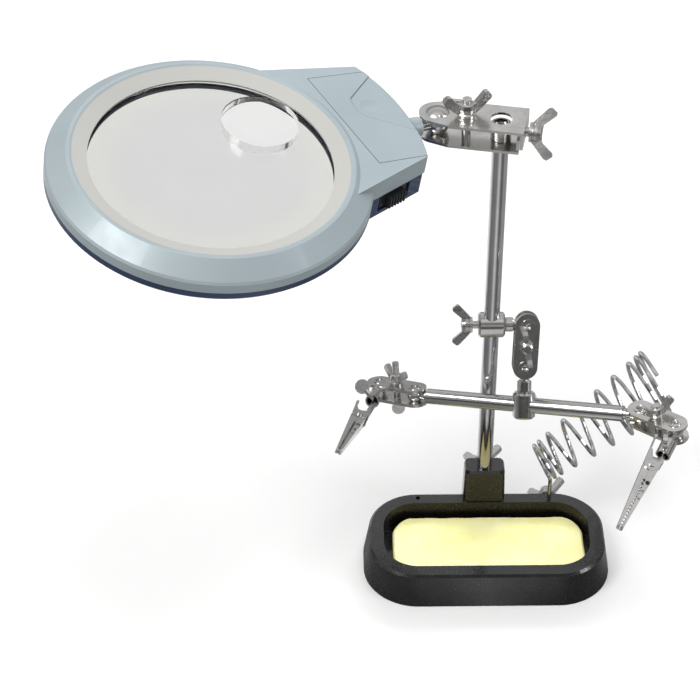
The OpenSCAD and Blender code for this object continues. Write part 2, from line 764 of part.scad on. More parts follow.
module bracket_plate(right_x) {
    dome_r = 9.2;
    difference() {
        union() {
            translate([0, 0, bracket_mid - sheet]) linear_extrude(sheet) bracket_outline(right_x);
            intersection() {
                translate([head_ball_x, 0, 0]) sphere(r = dome_r);
                translate([head_ball_x - 20, -20, bracket_mid - sheet]) cube([40, 40, 20]);
            }
        }
        translate([head_ball_x, 0, 0]) sphere(r = head_ball_r + fit);
        translate([bracket_bolt_x, 0, 0]) cylinder(h = 20, r = 2.5 + fit);
    }
}

module bracket_top_plate() {
    flange_l = 10.4;
    hole_r = 5.9;
    color(steel) at_bracket() {
        difference() {
            union() {
                bracket_plate(bracket_right_x);
                translate([bracket_right_x - sheet, -bracket_w / 2, bracket_mid - flange_l])
                    cube([sheet, bracket_w, flange_l]);
                // Rolled tab along the rear edge beside the ball
                translate([head_ball_x + 1, bracket_w / 2 - 1.2, bracket_mid + 0.5])
                    rotate([0, 90, 0]) cylinder(h = 13, r = 1.3);
            }
            cylinder(h = 40, r = hole_r);
            rotate([0, 90, 0]) cylinder(h = 40, r = 2.5 + fit);
        }
    }
}

module bracket_lower_plate() {
    x2 = bracket_right_x - sheet - 0.6;
    rise = 8.2;
    color(steel) at_bracket() difference() {
        union() {
            mirror([0, 0, 1]) bracket_plate(x2);
            translate([x2 - sheet, -bracket_w / 2 + 1, -bracket_mid]) cube([sheet, bracket_w - 2, rise]);
        }
        cylinder(h = 40, r = rod_r + fit, center = true);
        rotate([0, 90, 0]) cylinder(h = 40, r = 2.5 + fit);
    }
}

module bracket_clamp_bolt() {
    color(steel) at_bracket() translate([bracket_bolt_x, 0, -bracket_mid - gap]) {
        cylinder(h = bracket_h + 10, r = 2.5);
        translate([0, 0, -3.2]) cylinder(h = 3.2, r = 4.6, $fn = 6);
    }
}

module bracket_wing_nut() {
    color(steel) at_bracket() translate([bracket_bolt_x, 0, bracket_mid + gap]) rotate([0, 0, 30])
        difference() {
            union() {
                wing_hub(5, 7.6);
                wings(27, 3.2);
            }
            translate([0, 0, -1]) cylinder(h = 20, r = 2.5 + fit);
        }
}

module bracket_side_wing_bolt() {
    color(steel) at_bracket() translate([post_collar_r + 0.03, 0, 0]) rotate([0, 90, 0])
        rotate([0, 0, -39]) wing_bolt(9.5, 2.5, 28);
}

// ---------- magnifier ----------
// Plan of the handle about the lens centre: straight sides and an end round the lens
handle_a1 = -15;
handle_a2 = 24.5;
module handle_outline(inset) {
    r = handle_r - inset;
    rear = [[50, 57 - inset], [r * cos(handle_a2), 46 - inset]];
    front = [[r * cos(handle_a1), -29.5 + inset], [55, -47 + inset]];
    steps = 16;
    polygon(concat(
        rear,
        [for (i = [1 : steps - 1])
            let (a = 22.6 + (handle_a1 - 22.4) * i / steps) [r * cos(a), r * sin(a)]],
        front, [[30, -20], [30, 30]]
    ));
}

lid_pts = [[72.5, 44], [130, 38.6], [130, -30.6], [81, -27.6]];
module lid_outline(inset) {
    intersection() {
        polygon([[lid_pts[0][0] + inset, lid_pts[0][1] - inset], [130, lid_pts[1][1] - inset],
            [130, lid_pts[2][1] + inset], [lid_pts[3][0] + inset, lid_pts[3][1] + inset]]);
        circle(handle_r + 5, $fn = 180);
    }
}

cell_r = 5.15;
cell_l = 44.5;
// Middle of the battery compartment and its turn about the lens axis
cell_mid = [93, 7];
cell_turn = 5;
cell_h = -2.4;
compartment_floor = -9;

module at_cells() { translate([cell_mid[0], cell_mid[1], 0]) rotate([0, 0, cell_turn]) children(); }

module neck_boss() {
    translate([head_l - 11, 0, -lens_rise]) rotate([0, -90, 0]) cylinder(h = 10, r1 = 5.2, r2 = 5.6);
}

module magnifier_upper_shell() {
    lid_z = handle_top - 1.8;
    color(plastic) at_lens() difference() {
        union() {
            // Ring: inner bevel up to the crest, then down to the outer edge
            rotate_extrude($fn = 180) polygon([
                [opening_r, 2.5], [opening_r, 3.6], [70, 6.6], [71.4, 7.3], [73, 7.2], [82.6, 0.4],
                [ring_r, -0.8], [ring_r, seam_h], [ring_r - shell_t, seam_h],
                [ring_r - shell_t, -1.4], [73, 4.8], [71, 4.8], [opening_r + shell_t, 2.5]
            ]);
            difference() {
                translate([0, 0, seam_h]) linear_extrude(handle_top - seam_h) handle_outline(0);
                translate([0, 0, seam_h - 1]) linear_extrude(handle_top - seam_h + 1 - shell_t)
                    handle_outline(shell_t);
                translate([0, 0, seam_h - 1]) cylinder(h = 40, r = 72.5, $fn = 180);
            }
            // Battery compartment walls and floor
            difference() {
                at_cells() translate([-12.4, -27, compartment_floor - 1.4])
                    cube([24.8, 54, lid_z - compartment_floor + 1.4]);
                at_cells() translate([-11, -25.6, compartment_floor])
                    cube([22, 51.2, 40]);
                cylinder(h = 60, r = 76, center = true, $fn = 180);
            }
            neck_boss();
        }
        // Rebate for the lid and mouth of the compartment
        translate([0, 0, lid_z - gap]) linear_extrude(20) lid_outline(0);
        at_cells() translate([-11, -25.6, compartment_floor]) cube([22, 51.2, 40]);
        // Bore for the head's stud
        translate([head_l - 40, 0, -lens_rise]) rotate([0, 90, 0]) cylinder(h = 60, r = 3 + fit);
        translate([head_l - 24, 0, -lens_rise]) rotate([0, 90, 0]) cylinder(h = 6, r = 4);
        // The boss stays outside the lower shell
        translate([0, 0, seam_h - 30 - 0.02]) cylinder(h = 30, r = handle_r + gap, $fn = 180);
    }
}

module magnifier_lower_shell() {
    z1 = seam_h - 0.05;
    color(plastic) at_lens() difference() {
        union() {
            rotate_extrude($fn = 180) polygon([
                [ring_r, z1], [ring_r, -9.6], [82, -11.4], [74.5, -14], [72, -14.2],
                [opening_r, -4.9], [opening_r, -3.7], [opening_r + shell_t, -3.7], [72, -12.2],
                [74, -12.1], [ring_r - shell_t, -9.6], [ring_r - shell_t, z1]
            ]);
            difference() {
                translate([0, 0, handle_bottom]) linear_extrude(z1 - handle_bottom) handle_outline(0.6);
                translate([0, 0, handle_bottom + shell_t]) linear_extrude(40)
                    handle_outline(0.6 + shell_t);
                translate([0, 0, handle_bottom - 1]) cylinder(h = 40, r = 75, $fn = 180);
            }
            // Inner wall that closes the handle towards the lens
            difference() {
                intersection() {
                    translate([0, 0, handle_bottom]) linear_extrude(-11.4 - handle_bottom) handle_outline(0.6);
                    translate([0, 0, handle_bottom]) cylinder(h = 20, r = 77, $fn = 180);
                }
                translate([0, 0, handle_bottom - 1]) cylinder(h = 40, r = 75, $fn = 180);
            }
        }
        // Slot for the switch in the front face
        at_switch() translate([-11, -6, -5]) cube([22, 12, 10]);
        // Windows for the two lamps
        for (v = [-12, 12]) {
            translate([78.6, v, handle_bottom - 1]) cylinder(h = 6, r = 3.2);
        }
        at_screws() translate([0, 0, handle_bottom - 1]) cylinder(h = 6, r = 2.6);
    }
}

// Screw places under the handle
module at_screws() {
    for (p = [[84, -26], [84, 42], [104, -26], [101, 36]]) translate(p) children();
}

module shell_screws() {
    color(steel) at_lens() at_screws() translate([0, 0, handle_bottom + 0.5]) {
        difference() {
            cylinder(h = 1.9, r = 2.4);
            translate([0, 0, -1]) for (a = [0, 90]) rotate([0, 0, a])
                translate([-1.5, -0.35, 0]) cube([3, 0.7, 1.9]);
        }
        translate([0, 0, 1.5]) cylinder(h = 9, r = 1.2);
    }
}

// Middle of the switch on the handle's front face, X along the face, -Y outwards
module at_switch() { translate([89, -36.6, -12.6]) rotate([0, 0, 17]) children(); }

module switch_body() {
    color("#303338") at_lens() at_switch() translate([-9, 2.2, -4]) cube([18, 5, 8]);
}

module switch_slider() {
    color("#1b1c1e") at_lens() at_switch() {
        translate([-6, -0.9, -3.4]) cube([12, 3, 6.8]);
        for (i = [0 : 5]) {
            translate([-5.4 + i * 2, -1.9, -3.4]) cube([0.9, 1.2, 6.8]);
        }
    }
}

// Biconvex disc with a flat rim, from the sag of a sphere at each radius
function sag(r, big) = big - sqrt(big * big - r * r);
module lens_body(r, edge, bulge) {
    big = (r * r + bulge * bulge) / (2 * bulge);
    steps = 8;
    rim = edge / 2 + bulge;
    rotate_extrude($fn = 180) polygon(concat(
        [for (i = [0 : steps]) [r * i / steps, rim - sag(r * i / steps, big)]],
        [for (i = [steps : -1 : 0]) [r * i / steps, sag(r * i / steps, big) - rim]]
    ));
}

inset_at = [36.3, 21.8, 0];
inset_r = 20.3;
module magnifier_lens() {
    color("honeydew") at_lens() difference() {
        translate([0, 0, -0.6]) lens_body(opening_r + 1.8, 5, 2.4);
        translate(inset_at) cylinder(h = 40, r = inset_r + fit, center = true);
    }
}

module inset_lens() {
    color("honeydew") at_lens() translate(inset_at + [0, 0, -0.6]) lens_body(inset_r, 5.4, 3);
}

module battery_lid() {
    z1 = handle_top - 1.8;
    color(plastic) at_lens() difference() {
        intersection() {
            translate([0, 0, z1]) linear_extrude(1.8) lid_outline(0.3);
            cylinder(h = 40, r = handle_r, center = true, $fn = 180);
        }
        // Thumb recess: a wedge whose blunt apex points to the lens, with a shallow dimple
        translate([0, 0, handle_top - 0.5]) linear_extrude(2) polygon([
            [106, 37], [88.3, 23], [87.6, 18], [88, 12], [90, 8], [112, -10], [130, -10], [130, 37]
        ]);
        translate([95.5, 15, handle_top + 18.86]) sphere(r = 20);
    }
}

module batteries() {
    color("#3a6b4a") at_lens() at_cells() for (s = [-1, 1]) {
        translate([s * 5.3, -s * 0.9, cell_h]) rotate([90, 0, 0]) {
            cylinder(h = cell_l - 1, r = cell_r, center = true);
            translate([0, 0, s * (cell_l / 2 - 0.5)]) cylinder(h = 2, r = 1.9, center = true);
        }
    }
}

module battery_contacts() {
    color("gold") at_lens() at_cells() {
        for (y = [-25.5, 25]) translate([-10, y, cell_h - 4]) cube([20, 0.5, 8]);
        for (s = [-1, 1]) {
            translate([s * 5.3, s * (-24.35), cell_h]) rotate([90, 0, 0])
                cylinder(h = 1.2, r1 = 2.4, r2 = 1.6, center = true);
        }
    }
}

module led_board() {
    color("seagreen") at_lens() translate([77, -18, handle_bottom + 4.2]) cube([6, 36, 1.2]);
}

module leds() {
    color("white") at_lens() for (v = [-12, 12]) {
        translate([78.6 + 0.6, v, handle_bottom + 0.6]) {
            cylinder(h = 3.5, r = 2.5);
            sphere(r = 2.5);
        }
    }
}

module magnifier_ball_stud() {
    color(steel) at_head() {
        sphere(r = head_ball_r);
        rotate([0, -90, 0]) {
            cylinder(h = 20, r = 3);
            translate([0, 0, 18.6]) cylinder(h = 2.4, r = 3.9);
        }
    }
}

base_casting();
sponge();
base_wing_bolt();
iron_holder_wing_bolt();
iron_holder_coil();
post();
post_collar();
post_clamp_sleeve();
post_clamp_wing_bolt();
post_clamp_ball_stud();
center_knuckle_front_plate();
center_knuckle_rear_plate();
center_knuckle_bolt();
center_knuckle_wing_nut();
rod_clamp_ball_stud();
rod_clamp_sleeve();
rod_clamp_wing_bolt();
arm_rod();
left_rod_ball();
right_rod_ball();
left_knuckle_top_plate();
left_knuckle_bottom_plate();
left_knuckle_bolt();
left_knuckle_wing_nut();
left_holder_ball();
left_holder_tube();
left_thumbscrew();
left_clip_fixed_jaw();
left_clip_moving_jaw();
left_clip_rivet();
left_clip_spring();
right_knuckle_top_plate();
right_knuckle_bottom_plate();
right_knuckle_bolt();
right_knuckle_wing_nut();
right_holder_ball();
right_holder_tube();
right_thumbscrew();
right_clip_fixed_jaw();
right_clip_moving_jaw();
right_clip_rivet();
right_clip_spring();
bracket_top_plate();
bracket_lower_plate();
bracket_clamp_bolt();
bracket_wing_nut();
bracket_side_wing_bolt();
magnifier_ball_stud();
magnifier_upper_shell();
magnifier_lower_shell();
magnifier_lens();
inset_lens();
battery_lid();
batteries();
battery_contacts();
switch_slider();
switch_body();
led_board();
leds();
shell_screws();
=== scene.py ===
"""Looks for the helping hands clamp: materials, a porous sponge, floor, lights and a camera."""

import math

import bpy
from mathutils import Euler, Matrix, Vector, noise


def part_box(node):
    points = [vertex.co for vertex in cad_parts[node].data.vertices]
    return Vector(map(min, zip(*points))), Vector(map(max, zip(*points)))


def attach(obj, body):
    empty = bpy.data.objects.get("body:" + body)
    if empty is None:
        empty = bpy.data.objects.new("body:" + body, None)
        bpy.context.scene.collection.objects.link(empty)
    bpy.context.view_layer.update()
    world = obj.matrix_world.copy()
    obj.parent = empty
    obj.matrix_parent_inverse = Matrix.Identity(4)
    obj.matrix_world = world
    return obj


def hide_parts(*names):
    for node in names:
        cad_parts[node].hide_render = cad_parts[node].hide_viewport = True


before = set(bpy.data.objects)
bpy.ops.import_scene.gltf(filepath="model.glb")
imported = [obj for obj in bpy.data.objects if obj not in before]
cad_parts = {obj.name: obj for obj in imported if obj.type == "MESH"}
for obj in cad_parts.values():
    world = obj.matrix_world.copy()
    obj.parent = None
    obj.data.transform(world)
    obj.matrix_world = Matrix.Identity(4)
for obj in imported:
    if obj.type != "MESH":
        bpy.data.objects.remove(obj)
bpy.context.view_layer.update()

MM = 0.001


# ---------- node helpers ----------
def grey_stops(elements, stops):
    """Fills a colour ramp, which starts with two stops, from (place, level) pairs."""
    (first, low), (last, high) = stops[0], stops[-1]
    elements[0].position, elements[0].color = first, (low, low, low, 1)
    elements[1].position, elements[1].color = last, (high, high, high * 1.01, 1)
    for place, level in stops[1:-1]:
        elements.new(place).color = (level, level, level * 1.01, 1)


class Shader:
    """A material with a Principled node, and short ways to wire textures into it."""

    def __init__(self, name):
        self.mat = bpy.data.materials.new(name)
        self.mat.use_nodes = True
        self.tree = self.mat.node_tree
        self.tree.nodes.clear()
        self.out = self.node("ShaderNodeOutputMaterial")
        self.bsdf = self.node("ShaderNodeBsdfPrincipled")
        self.link(self.bsdf.outputs["BSDF"], self.out.inputs["Surface"])
        self.coord = self.node("ShaderNodeTexCoord").outputs["Object"]

    def node(self, kind, **props):
        n = self.tree.nodes.new(kind)
        for key, value in props.items():
            setattr(n, key, value)
        return n

    def link(self, a, b):
        self.tree.links.new(a, b)

    def put(self, socket, value):
        """Sets an input by value, or links it when the value is another node's output."""
        if isinstance(value, bpy.types.NodeSocket):
            self.link(value, socket)
        else:
            socket.default_value = value

    def stretched(self, scale):
        n = self.node("ShaderNodeMapping")
        self.link(self.coord, n.inputs["Vector"])
        n.inputs["Scale"].default_value = scale
        return n.outputs["Vector"]

    def noise(self, scale, detail=3.0, rough=0.5, where=None, distortion=0.0):
        n = self.node("ShaderNodeTexNoise")
        self.link(where or self.coord, n.inputs["Vector"])
        n.inputs["Scale"].default_value = scale
        n.inputs["Detail"].default_value = detail
        n.inputs["Roughness"].default_value = rough
        n.inputs["Distortion"].default_value = distortion
        return n.outputs["Fac"]

    def away_from(self, centre):
        """Distance in metres from a point of the machine."""
        n = self.node("ShaderNodeVectorMath", operation="DISTANCE")
        self.link(self.coord, n.inputs[0])
        n.inputs[1].default_value = centre
        return n.outputs["Value"]

    def cells(self, scale):
        n = self.node("ShaderNodeTexVoronoi")
        self.link(self.coord, n.inputs["Vector"])
        n.inputs["Scale"].default_value = scale
        return n.outputs["Distance"]

    def span(self, value, low, high, to_low=0.0, to_high=1.0):
        n = self.node("ShaderNodeMapRange")
        n.clamp = True
        self.link(value, n.inputs["Value"])
        limits = {"From Min": low, "From Max": high, "To Min": to_low, "To Max": to_high}
        for key, v in limits.items():
            n.inputs[key].default_value = v
        return n.outputs["Result"]

    def mix(self, factor, a, b):
        n = self.node("ShaderNodeMix", data_type="RGBA")
        self.put(n.inputs["Factor"], factor)
        for socket, value in ((n.inputs[6], a), (n.inputs[7], b)):
            self.put(socket, (*value, 1.0) if isinstance(value, tuple) else value)
        return n.outputs[2]

    def math(self, operation, a, b=0.5, clamp=True):
        n = self.node("ShaderNodeMath", operation=operation)
        n.use_clamp = clamp and operation != "SUBTRACT"
        self.put(n.inputs[0], a)
        self.put(n.inputs[1], b)
        return n.outputs[0]

    def levels(self, value, stops):
        """Greys at given places from zero to one."""
        n = self.node("ShaderNodeValToRGB")
        self.link(value, n.inputs["Fac"])
        grey_stops(n.color_ramp.elements, stops)
        return n.outputs["Color"]

    def edges(self, radius, low=0.004, high=0.09):
        """One on sharp edges, fading to zero on flat faces."""
        bevel = self.node("ShaderNodeBevel", samples=4)
        bevel.inputs["Radius"].default_value = radius
        true = self.node("ShaderNodeNewGeometry")
        dot = self.node("ShaderNodeVectorMath", operation="DOT_PRODUCT")
        self.link(bevel.outputs["Normal"], dot.inputs[0])
        self.link(true.outputs["Normal"], dot.inputs[1])
        gap = self.math("SUBTRACT", 1.0, dot.outputs["Value"])
        return self.span(gap, low, high)

    def bump(self, height, strength, distance, after=None):
        n = self.node("ShaderNodeBump")
        n.inputs["Strength"].default_value = strength
        n.inputs["Distance"].default_value = distance
        self.link(height, n.inputs["Height"])
        if after is not None:
            self.link(after, n.inputs["Normal"])
        return n.outputs["Normal"]

    def finish(self, **inputs):
        for key, value in inputs.items():
            name = key.replace("_", " ")
            if isinstance(value, tuple):
                value = (*value, 1.0)
            self.put(self.bsdf.inputs[name], value)
        return self.mat


# ---------- materials ----------
LENS_MIDDLE = tuple(sum(corner[i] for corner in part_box("magnifier_lens")) / 2 for i in range(3))
# Measured from the lens's middle: where the painted pale sheen on the bevel ends, and where the
# glass yellows
BEVEL_SHEEN_END = 70.5 * MM
YELLOWING = (45 * MM, 68 * MM)


def plated(name, color, dull, rough, cast=0.0, streak=None, wear=0.35):
    """Bright plated steel: mottled sheen, faint scratches, duller edges. cast adds lumps."""
    s = Shader(name)
    cloud = s.noise(90.0, 4.0, 0.6)
    fine = s.noise(1400.0, 2.0, 0.6)
    scratch = s.noise(260.0, 2.0, 0.7, s.stretched(streak or (1.0, 7.0, 1.0)), 0.4)
    rim = s.edges(0.5 * MM)
    tone = s.mix(s.span(cloud, 0.35, 0.72), color, tuple(c * 0.86 for c in color))
    tone = s.mix(s.math("MULTIPLY", s.span(scratch, 0.56, 0.75), 0.35), tone, dull)
    tone = s.mix(s.math("MULTIPLY", rim, wear), tone, tuple(min(1.0, c * 1.18) for c in color))
    roughness = s.span(cloud, 0.3, 0.75, rough * 0.75, rough * 1.35)
    roughness = s.math("ADD", roughness, s.math("MULTIPLY", s.span(scratch, 0.55, 0.8), 0.1))
    normal = s.bump(fine, 0.05, 0.05 * MM)
    normal = s.bump(scratch, 0.06, 0.05 * MM, normal)
    if cast:
        normal = s.bump(s.noise(420.0, 3.0, 0.55), cast, 0.25 * MM, normal)
    return s.finish(Base_Color=tone, Metallic=1.0, Roughness=roughness, Normal=normal)


def enamel():
    """Glossy black enamel over a lumpy casting, rubbed grey along its edges."""
    s = Shader("black_enamel")
    lumps = s.noise(120.0, 3.0, 0.5)
    peel = s.noise(650.0, 2.0, 0.5)
    dust = s.noise(2600.0, 2.0, 0.7)
    rim = s.edges(1.1 * MM, 0.01, 0.2)
    worn = s.math("MULTIPLY", rim, s.span(s.noise(300.0, 4.0, 0.7), 0.45, 0.7))
    tone = s.mix(s.span(lumps, 0.3, 0.7), (0.004, 0.004, 0.004), (0.008, 0.008, 0.008))
    tone = s.mix(s.math("MULTIPLY", s.span(dust, 0.66, 0.78), 0.08), tone, (0.05, 0.05, 0.05))
    tone = s.mix(s.math("MULTIPLY", worn, 0.4), tone, (0.09, 0.088, 0.085))
    roughness = s.span(peel, 0.3, 0.7, 0.2, 0.36)
    normal = s.bump(lumps, 0.2, 0.6 * MM)
    normal = s.bump(peel, 0.06, 0.1 * MM, normal)
    return s.finish(
        Base_Color=tone, Roughness=roughness, Normal=normal, Coat_Weight=1.0, Coat_Roughness=0.12
    )


def satin(name, color, deep, metal, rough, rim_color, bevel=None, wear=0.4):
    """Moulded plastic with fine grain and metallic flakes. bevel paints a pale sheen on the lens's
    surround.
    """
    s = Shader(name)
    grain = s.noise(2300.0, 2.0, 0.6)
    cloud = s.noise(28.0, 3.0, 0.5)
    flake = s.cells(5200.0)
    rim = s.edges(0.7 * MM)
    tone = s.mix(s.span(cloud, 0.3, 0.7), color, deep)
    tone = s.mix(s.math("MULTIPLY", s.span(flake, 0.0, 0.35, 1.0, 0.0), 0.22), tone, rim_color)
    if bevel:
        # Painted sheen: the inner bevel round the lens is coloured paler
        inside = s.span(s.away_from(LENS_MIDDLE), BEVEL_SHEEN_END, BEVEL_SHEEN_END + 0.7 * MM, 1.0, 0.0)
        tone = s.mix(inside, tone, bevel)
    tone = s.mix(s.math("MULTIPLY", rim, wear), tone, rim_color)
    roughness = s.span(s.noise(60.0, 3.0, 0.6), 0.3, 0.7, rough * 0.85, rough * 1.15)
    normal = s.bump(grain, 0.1, 0.06 * MM)
    return s.finish(
        Base_Color=tone, Metallic=metal, Roughness=roughness, Normal=normal, Coat_Weight=0.15
    )


def lens_glass(name, tint, rim_tint, bend=1.36):
    """Clear moulded lens with faint smears and a faintly yellow rim."""
    s = Shader(name)
    smear = s.noise(26.0, 4.0, 0.6, s.stretched((1.0, 2.4, 1.0)), 0.8)
    roughness = s.span(smear, 0.5, 0.8, 0.0, 0.05)
    normal = s.bump(s.noise(40.0, 2.0, 0.5), 0.004, 0.1 * MM)
    tone = s.mix(s.span(smear, 0.4, 0.8), tint, tuple(c * 0.97 for c in tint))
    tone = s.mix(s.span(s.away_from(LENS_MIDDLE), *YELLOWING), tone, rim_tint)
    return s.finish(
        Base_Color=tone, Roughness=roughness, Normal=normal, Transmission_Weight=1.0, IOR=bend
    )


def lamp_dome():
    """Cloudy clear lamp body."""
    s = Shader("lamp_dome")
    cloud = s.noise(700.0, 3.0, 0.6)
    tone = s.mix(s.span(cloud, 0.3, 0.7), (0.93, 0.94, 0.97), (0.8, 0.82, 0.88))
    normal = s.bump(cloud, 0.05, 0.05 * MM)
    return s.finish(
        Base_Color=tone, Roughness=s.span(cloud, 0.3, 0.7, 0.08, 0.2), Normal=normal,
        Transmission_Weight=0.5, IOR=1.5,
    )


def board_green():
    """Green circuit board with a faint weave and bare edges."""
    s = Shader("circuit_board")
    weave = s.noise(1800.0, 2.0, 0.5)
    blotch = s.noise(150.0, 3.0, 0.5)
    tone = s.mix(s.span(blotch, 0.3, 0.7), (0.02, 0.14, 0.06), (0.03, 0.2, 0.09))
    tone = s.mix(s.math("MULTIPLY", s.edges(0.3 * MM), 0.6), tone, (0.35, 0.33, 0.2))
    roughness = s.span(blotch, 0.3, 0.7, 0.3, 0.45)
    return s.finish(Base_Color=tone, Roughness=roughness, Normal=s.bump(weave, 0.1, 0.05 * MM))


def cell_wrap():
    """Green foil round a battery, with bare metal at its ends."""
    s = Shader("cell_wrap")
    fold = s.noise(210.0, 3.0, 0.5, s.stretched((1.0, 0.3, 1.0)))
    tone = s.mix(s.span(fold, 0.35, 0.65), (0.05, 0.16, 0.1), (0.07, 0.22, 0.13))
    tone = s.mix(s.math("MULTIPLY", s.edges(0.5 * MM), 0.7), tone, (0.5, 0.5, 0.48))
    roughness = s.span(fold, 0.3, 0.7, 0.25, 0.4)
    return s.finish(Base_Color=tone, Roughness=roughness, Normal=s.bump(fold, 0.15, 0.1 * MM))


def sponge_cell():
    """Pale yellow cellulose: open pores of several sizes with painted shade in them, and paler,
    drier patches that also carry a painted glow.
    """
    s = Shader("sponge_cellulose")
    large = s.cells(330.0)
    small = s.cells(900.0)
    fibre = s.noise(1500.0, 4.0, 0.7)
    patch = s.noise(45.0, 3.0, 0.6)
    tone = s.mix(s.span(patch, 0.35, 0.68), (1.0, 0.97, 0.44), (1.0, 0.99, 0.58))
    # Painted shade: the pore centres are darkened as if shaded inside
    tone = s.mix(s.span(large, 0.05, 0.42, 0.5, 0.0), tone, (0.82, 0.72, 0.26))
    tone = s.mix(s.span(small, 0.05, 0.35, 0.5, 0.0), tone, (0.84, 0.74, 0.28))
    normal = s.bump(large, 0.6, 0.5 * MM)
    normal = s.bump(small, 0.5, 0.25 * MM, normal)
    normal = s.bump(fibre, 0.5, 0.15 * MM, normal)
    # Painted glow: overexposed to the camera by a painted yellow glow, but dim in the metal and on
    # the casting beside it
    seen = s.node("ShaderNodeLightPath").outputs["Is Camera Ray"]
    tone = s.mix(s.math("SUBTRACT", 1.0, seen), tone, (0.42, 0.38, 0.18))
    glow = s.math("MULTIPLY", seen, s.span(patch, 0.3, 0.7, 0.06, 0.14))
    return s.finish(
        Base_Color=tone,
        Roughness=s.span(fibre, 0.3, 0.7, 0.85, 1.0),
        Normal=normal,
        Sheen_Weight=0.15,
        # Painted glow on camera rays only, though the sponge is no lamp
        Emission_Color=(1.0, 0.9, 0.3),
        Emission_Strength=glow,
    )


NICKEL = plated("nickel", (0.74, 0.73, 0.71), (0.5, 0.49, 0.47), 0.2)
CAST_NICKEL = plated("cast_nickel", (0.72, 0.71, 0.69), (0.46, 0.45, 0.43), 0.24, cast=0.35)
CHROME = plated(
    "polished_tube", (0.72, 0.72, 0.73), (0.55, 0.55, 0.56), 0.11, streak=(6.0, 6.0, 0.4)
)
DRAWN = plated("drawn_rod", (0.68, 0.68, 0.67), (0.45, 0.45, 0.44), 0.2, streak=(0.4, 8.0, 8.0))
WIRE = plated("spring_wire", (0.7, 0.7, 0.7), (0.5, 0.5, 0.5), 0.16)
BRASS = plated("sprung_brass", (0.78, 0.6, 0.28), (0.5, 0.36, 0.16), 0.3)
SCREW = plated("screw_steel", (0.5, 0.5, 0.5), (0.3, 0.3, 0.3), 0.35)
SILVER = ((0.325, 0.385, 0.41), (0.3, 0.355, 0.38), 0.18, 0.45)
# The pale bevel colour here is a painted sheen on the same plastic
SILVER_BLUE = satin("silver_blue_plastic", *SILVER, (0.6, 0.66, 0.69), bevel=(0.45, 0.45, 0.43))
LID_BLUE = satin("lid_plastic", *SILVER, (0.1, 0.13, 0.15), wear=0.75)
NAVY = satin(
    "navy_plastic", (0.03, 0.055, 0.12), (0.022, 0.042, 0.095), 0.2, 0.38, (0.09, 0.13, 0.22)
)
BLACK_PLASTIC = satin(
    "black_plastic", (0.018, 0.018, 0.02), (0.012, 0.012, 0.014), 0.0, 0.42, (0.07, 0.07, 0.075)
)
LENS = lens_glass("lens_clear", (0.6, 0.6, 0.6), (0.63, 0.63, 0.585))
INSET = lens_glass("inset_lens_clear", (0.7, 0.7, 0.7), (0.7, 0.7, 0.68), 1.14)

FINISH = {
    "base_casting": enamel(),
    "post": CHROME,
    "arm_rod": DRAWN,
    "iron_holder_coil": WIRE,
    "magnifier_upper_shell": SILVER_BLUE,
    "battery_lid": LID_BLUE,
    "magnifier_lower_shell": NAVY,
    "magnifier_lens": LENS,
    "inset_lens": INSET,
    "batteries": cell_wrap(),
    "battery_contacts": BRASS,
    "switch_slider": BLACK_PLASTIC,
    "switch_body": BLACK_PLASTIC,
    "led_board": board_green(),
    "leds": lamp_dome(),
    "shell_screws": SCREW,
}


def finish_of(name):
    if name in FINISH:
        return FINISH[name]
    return CAST_NICKEL if "wing" in name or "thumbscrew" in name else NICKEL


for name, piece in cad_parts.items():
    piece.data.materials.clear()
    piece.data.materials.append(finish_of(name))


# ---------- sponge ----------
EDGE_SOFTNESS = 1.6 * MM
EDGE_WAVE = 0.35 * MM
# How far the sides, the ends, the top and the bottom stay inside the box
GAP_X, GAP_Y, GAP_TOP, GAP_UNDER = 0.5 * MM, 0.4 * MM, 0.3 * MM, 0.05 * MM


